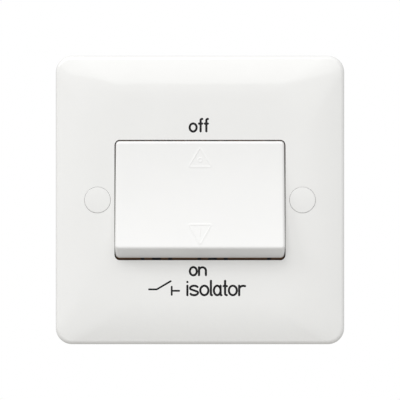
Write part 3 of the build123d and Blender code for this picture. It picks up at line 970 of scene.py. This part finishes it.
# Pan head with a cross recess, and a thread that forms its own way
BASE_SCREW = ScrewKind(
    tip=-4.8, seat=2.2, top=3.7, shank=1.25, head=2.3, point=((0.4375, 0.0), (1.0, 0.7), (1.23, 1.1)),
    first_ring=1.2, last_ring=0.7, rings=56, thread_start=0.3, thread_end=0.65, neck=0.6,
    chamfer=0.1, rim=0.75, flat=0.92, thread_depth=0.2,
    drive_width=0.55, drive_length=2.7, cross_length=2.7, drive_depth=0.95)


def screw_outline(kind):
    """Steps of (radius, y) in metres from the tip of a screw to the top of its head."""
    first, last = kind.tip + kind.first_ring, kind.seat - kind.last_ring
    steps = [(0, kind.tip)] + [(radius, kind.tip + rise) for radius, rise in kind.point]
    steps += [(kind.shank, first + (last - first) * i / kind.rings) for i in range(kind.rings + 1)]
    steps += [(kind.shank, kind.seat - kind.neck), (kind.shank, kind.seat)]
    steps += [(kind.head - kind.chamfer, kind.seat), (kind.head, kind.seat + kind.chamfer)]
    for i in range(RIM_STEPS + 1):
        angle = math.radians(90 * i / RIM_STEPS)
        inward, down = kind.rim * (1 - math.cos(angle)), kind.rim * (1 - math.sin(angle))
        steps.append((kind.head - inward, kind.top - down))
    steps += [(kind.flat, kind.top), (0, kind.top)]
    return [(radius * MM, y * MM) for radius, y in steps]


# Operators, one for each piece or group of like pieces

class ISOLATOR_OT_plate(Operator):
    """Finish the front plate and its two screw caps"""
    bl_idname = "isolator.plate"
    bl_label = "Plate and caps"

    def execute(self, context):
        for name in ("front_plate", "screw_cap_left", "screw_cap_right"):
            dress_node(name, "white_moulding")
        return {"FINISHED"}


class ISOLATOR_OT_rocker(Operator):
    """Finish the rocker and mould its two triangle signs"""
    bl_idname = "isolator.rocker"
    bl_label = "Rocker and signs"

    def execute(self, context):
        settings = context.scene.isolator_ridge
        dress_node("rocker", "white_rocker")
        tree, keys = ridge_tree()
        signs = {
            "rocker_triangles": (
                sign_triangles(), settings.inner_width, settings.outer_width, settings.ridge_height),
            "rocker_marks": (
                sign_marks(), settings.mark_width, settings.mark_width, settings.mark_height),
        }
        for name, (strokes, inner, outer, height) in signs.items():
            raised = grown(name, line_mesh(name + "_lines", on_flat(strokes)), tree, keys, {
                "Inner Width": inner, "Outer Width": outer, "Ridge Height": height, "Seat": RIDGE_SEAT,
                "Face Height": settings.face_height, "Dish Radius": settings.dish_radius,
                "Tilt": (-ROCKER_TILT, 0.0, 0.0), "Pivot": tuple(PIVOT), "Material": finish("white_rocker"),
            }, "rocker")
            raised.data.set_sharp_from_angle(angle=RIDGE_CREASE)
        return {"FINISHED"}


class ISOLATOR_OT_print(Operator):
    """Print the words and the circuit sign on the plate"""
    bl_idname = "isolator.print"
    bl_label = "Printed words and sign"

    def execute(self, context):
        settings = context.scene.isolator_print
        tree, keys = stroke_tree()
        prints = {
            "printed_words": (word_off() + word_on() + word_isolator(), settings.word_stroke),
            "printed_circuit_sign": (circuit_sign(), settings.sign_stroke),
        }
        for name, (strokes, width) in prints.items():
            grown(name, line_mesh(name + "_lines", on_plate(strokes)), tree, keys, {
                "Stroke Width": width, "Ink Height": settings.ink_height, "Face": PLATE_FACE,
                "Material": finish("ink"),
            }, "plate")
        return {"FINISHED"}


class ISOLATOR_OT_base(Operator):
    """Finish the switch base"""
    bl_idname = "isolator.base"
    bl_label = "Switch base"

    def execute(self, context):
        dress_node("switch_base", "dark_moulding", BASE_EDGE)
        return {"FINISHED"}


class ISOLATOR_OT_terminals(Operator):
    """Finish the brass terminals and their silver contacts"""
    bl_idname = "isolator.terminals"
    bl_label = "Terminals and fixed contacts"

    def execute(self, context):
        for pole in POLES:
            dress_node(f"load_terminal_{pole}", "brass", TERMINAL_EDGE)
            dress_node(f"feed_terminal_{pole}", "brass", TERMINAL_EDGE)
            dress_node(f"fixed_contact_{pole}", "contact_silver")
        return {"FINISHED"}


class ISOLATOR_OT_arms(Operator):
    """Finish the contact arms and their silver contacts"""
    bl_idname = "isolator.arms"
    bl_label = "Contact arms"

    def execute(self, context):
        for pole in POLES:
            dress_node(f"contact_arm_{pole}", "copper_strip", ARM_EDGE)
            dress_node(f"moving_contact_{pole}", "contact_silver")
        return {"FINISHED"}


class ISOLATOR_OT_plungers(Operator):
    """Finish the plungers and wind their springs"""
    bl_idname = "isolator.plungers"
    bl_label = "Plungers and springs"

    def execute(self, context):
        settings = context.scene.isolator_spring
        tree, keys = coil_tree()
        length = settings.seat_high - settings.seat_low
        turn = PUSH_AXIS.to_track_quat("Z", "X").to_matrix().to_4x4()
        for pole in POLES:
            dress_node(f"plunger_{pole}", "nylon")
            middle = Vector((pole_middle(pole), PIVOT.y, PIVOT.z))
            start = middle + PUSH_AXIS * (settings.seat_low + settings.wire_radius)
            spring = grown(f"coil_spring_{pole}", line_mesh("coil_seed", []), tree, keys, {
                "Wire Radius": settings.wire_radius, "Coil Radius": settings.coil_radius,
                "Height": length - 2 * settings.wire_radius, "Turns": settings.turns,
                "Material": finish("spring_steel"),
            }, "rocker", Matrix.Translation(start) @ turn)
            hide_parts(f"plunger_spring_{pole}")
            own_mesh(spring)
        return {"FINISHED"}


class ISOLATOR_OT_screws(Operator):
    """Turn, thread and slot the terminal and base screws"""
    bl_idname = "isolator.screws"
    bl_label = "Screws"

    def execute(self, context):
        settings = context.scene.isolator_screw
        tree, keys = screw_tree()
        sets = {
            "terminal_screw_set": (
                "terminal_screws", TERMINAL_SCREW, self.terminal_places(), settings.terminal_pitch),
            "base_screw_set": (
                "base_screws", BASE_SCREW, self.base_places(), settings.base_pitch),
        }
        for name, (node, kind, places, pitch) in sets.items():
            marks = bpy.data.objects.new(name + "_places", bpy.data.meshes.new(name + "_places"))
            marks.data.from_pydata(places, [], [])
            context.scene.collection.objects.link(marks)
            blank = turned_mesh(name, screw_outline(kind), settings.segments)
            screws = grown(name, blank, tree, keys, {
                "Places": marks, "Pitch": pitch, "Thread Depth": kind.thread_depth * MM,
                "Thread Start": (kind.tip + kind.thread_start) * MM,
                "Thread End": (kind.seat - kind.thread_end) * MM, "Head Top": kind.top * MM,
                "Drive Width": kind.drive_width * MM, "Drive Length": kind.drive_length * MM,
                "Cross Length": kind.cross_length * MM, "Drive Depth": kind.drive_depth * MM,
                "Seed": settings.seed, "Material": finish("plated_steel"),
            }, "plate")
            bpy.data.objects.remove(marks)
            screws.data.set_sharp_from_angle(angle=SCREW_CREASE)
            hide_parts(node)
        return {"FINISHED"}

    def terminal_places(self):
        """Two screws for each pole, above and below."""
        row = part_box("terminal_screws")[1].z - TERMINAL_SCREW.head * MM
        return [(pole_middle(pole), 0, sign * row) for pole in POLES for sign in (-1, 1)]

    def base_places(self):
        """A screw at each corner of the base."""
        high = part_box("base_screws")[1]
        across, up = high.x - BASE_SCREW.head * MM, high.z - BASE_SCREW.head * MM
        return [(side * across, 0, sign * up) for side in (-1, 1) for sign in (-1, 1)]


class ISOLATOR_OT_stage(Operator):
    """Set the floor, the soft light and the camera"""
    bl_idname = "isolator.stage"
    bl_label = "Stage"

    def execute(self, context):
        settings = context.scene.isolator_stage
        self.floor(context, settings)
        self.room(context, settings)
        for side in SOFTBOXES:
            self.softbox(context, side, getattr(settings, f"{side}_power"), settings.light_distance)
        self.camera(context, settings)
        context.scene.view_settings.view_transform = "Standard"
        return {"FINISHED"}

    def floor(self, context, settings):
        """Plain pale floor, well below the switch, that fades out into the white room."""
        mesh = bpy.data.meshes.new("pale_floor")
        corners = [(x * FLOOR_HALF, y * FLOOR_HALF, -settings.floor_drop)
                   for x, y in ((-1, -1), (1, -1), (1, 1), (-1, 1))]
        mesh.from_pydata(corners, [], [(0, 1, 2, 3)])
        floor = bpy.data.objects.new("pale_floor", mesh)
        context.scene.collection.objects.link(floor)
        material, tree, shader, place = new_finish("pale_paint")
        cloud = grain(tree, place, scale=6, detail=3)
        flat = add_node(tree, "ShaderNodeMapping", {"Vector": place, "Scale": (1, 1, 0)}).outputs["Vector"]
        distance = add_node(tree, "ShaderNodeVectorMath", {0: flat}, operation="LENGTH").outputs["Value"]
        set_inputs(tree, shader, {
            "Base Color": tinted(tree, cloud, PAINT_DARK, PAINT_PALE),
            "Roughness": spread(tree, cloud, 0.55, 0.7),
            "Alpha": spread(tree, distance, 1.0, 0.0, FLOOR_FADE, FLOOR_HALF),
        })
        mesh.materials.append(material)

    def room(self, context, settings):
        """White room that lights evenly, and is pure white where it is seen."""
        world = bpy.data.worlds.new("white_room")
        world.use_nodes = True
        tree = world.node_tree
        tree.nodes.clear()
        light = add_node(tree, "ShaderNodeBackground", {"Color": WHITE, "Strength": settings.room_light})
        white = add_node(tree, "ShaderNodeBackground", {"Color": WHITE, "Strength": 1.0})
        seen = add_node(tree, "ShaderNodeLightPath").outputs["Is Camera Ray"]
        both = add_node(tree, "ShaderNodeMixShader", {0: seen, 1: light.outputs[0], 2: white.outputs[0]})
        add_node(tree, "ShaderNodeOutputWorld", {"Surface": both.outputs[0]})
        context.scene.world = world

    def softbox(self, context, side, power, distance):
        """One soft light, aimed at the switch."""
        turn_degrees, rise_degrees, width, height = SOFTBOXES[side]
        turn, rise = math.radians(turn_degrees), math.radians(rise_degrees)
        way = Vector((math.cos(rise) * math.sin(turn), -math.cos(rise) * math.cos(turn), math.sin(rise)))
        lamp = bpy.data.lights.new(f"{side}_softbox", "AREA")
        lamp.shape = "RECTANGLE"
        lamp.size, lamp.size_y = width, height
        lamp.energy = power
        light = bpy.data.objects.new(f"{side}_softbox", lamp)
        light.location = distance * way
        light.rotation_euler = (-way).to_track_quat("-Z", "Y").to_euler()
        light.visible_camera = False
        context.scene.collection.objects.link(light)

    def camera(self, context, settings):
        """Camera square in front of the plate."""
        data = bpy.data.cameras.new("front_camera")
        data.sensor_width = SENSOR_WIDTH
        data.lens = settings.lens
        data.clip_start = CLIP_START
        camera = bpy.data.objects.new("front_camera", data)
        camera.location = (0, -settings.camera_distance, 0)
        camera.rotation_euler = (math.radians(90), 0, 0)
        context.scene.collection.objects.link(camera)
        context.scene.camera = camera


OPERATORS = (
    ISOLATOR_OT_plate, ISOLATOR_OT_rocker, ISOLATOR_OT_print, ISOLATOR_OT_base, ISOLATOR_OT_terminals,
    ISOLATOR_OT_arms, ISOLATOR_OT_plungers, ISOLATOR_OT_screws, ISOLATOR_OT_stage)
GROUPS = {
    "isolator_moulding": MouldingSettings, "isolator_print": PrintSettings, "isolator_ridge": RidgeSettings,
    "isolator_spring": SpringSettings, "isolator_screw": ScrewSettings, "isolator_stage": StageSettings}


class ISOLATOR_PT_panel(Panel):
    """Lists the pieces and their settings"""
    bl_idname = "ISOLATOR_PT_panel"
    bl_label = "Fan isolator switch"
    bl_space_type = "VIEW_3D"
    bl_region_type = "UI"
    bl_category = "Isolator"

    def draw(self, context):
        for operator in OPERATORS:
            self.layout.operator(operator.bl_idname)
        for key, group in GROUPS.items():
            box = self.layout.box()
            for name in group.__annotations__:
                box.prop(getattr(context.scene, key), name)


def register():
    """Register the settings, operators and panel."""
    for group in GROUPS.values():
        bpy.utils.register_class(group)
    for key, group in GROUPS.items():
        setattr(bpy.types.Scene, key, PointerProperty(type=group))
    for operator in OPERATORS:
        bpy.utils.register_class(operator)
    bpy.utils.register_class(ISOLATOR_PT_panel)


def unregister():
    """Take them out again."""
    bpy.utils.unregister_class(ISOLATOR_PT_panel)
    for operator in reversed(OPERATORS):
        bpy.utils.unregister_class(operator)
    for key, group in GROUPS.items():
        delattr(bpy.types.Scene, key)
        bpy.utils.unregister_class(group)


def main():
    """Make every piece."""
    register()
    bpy.ops.isolator.plate()
    bpy.ops.isolator.rocker()
    bpy.ops.isolator.print()
    bpy.ops.isolator.base()
    bpy.ops.isolator.terminals()
    bpy.ops.isolator.arms()
    bpy.ops.isolator.plungers()
    bpy.ops.isolator.screws()
    bpy.ops.isolator.stage()


if __name__ == "__main__":
    main()
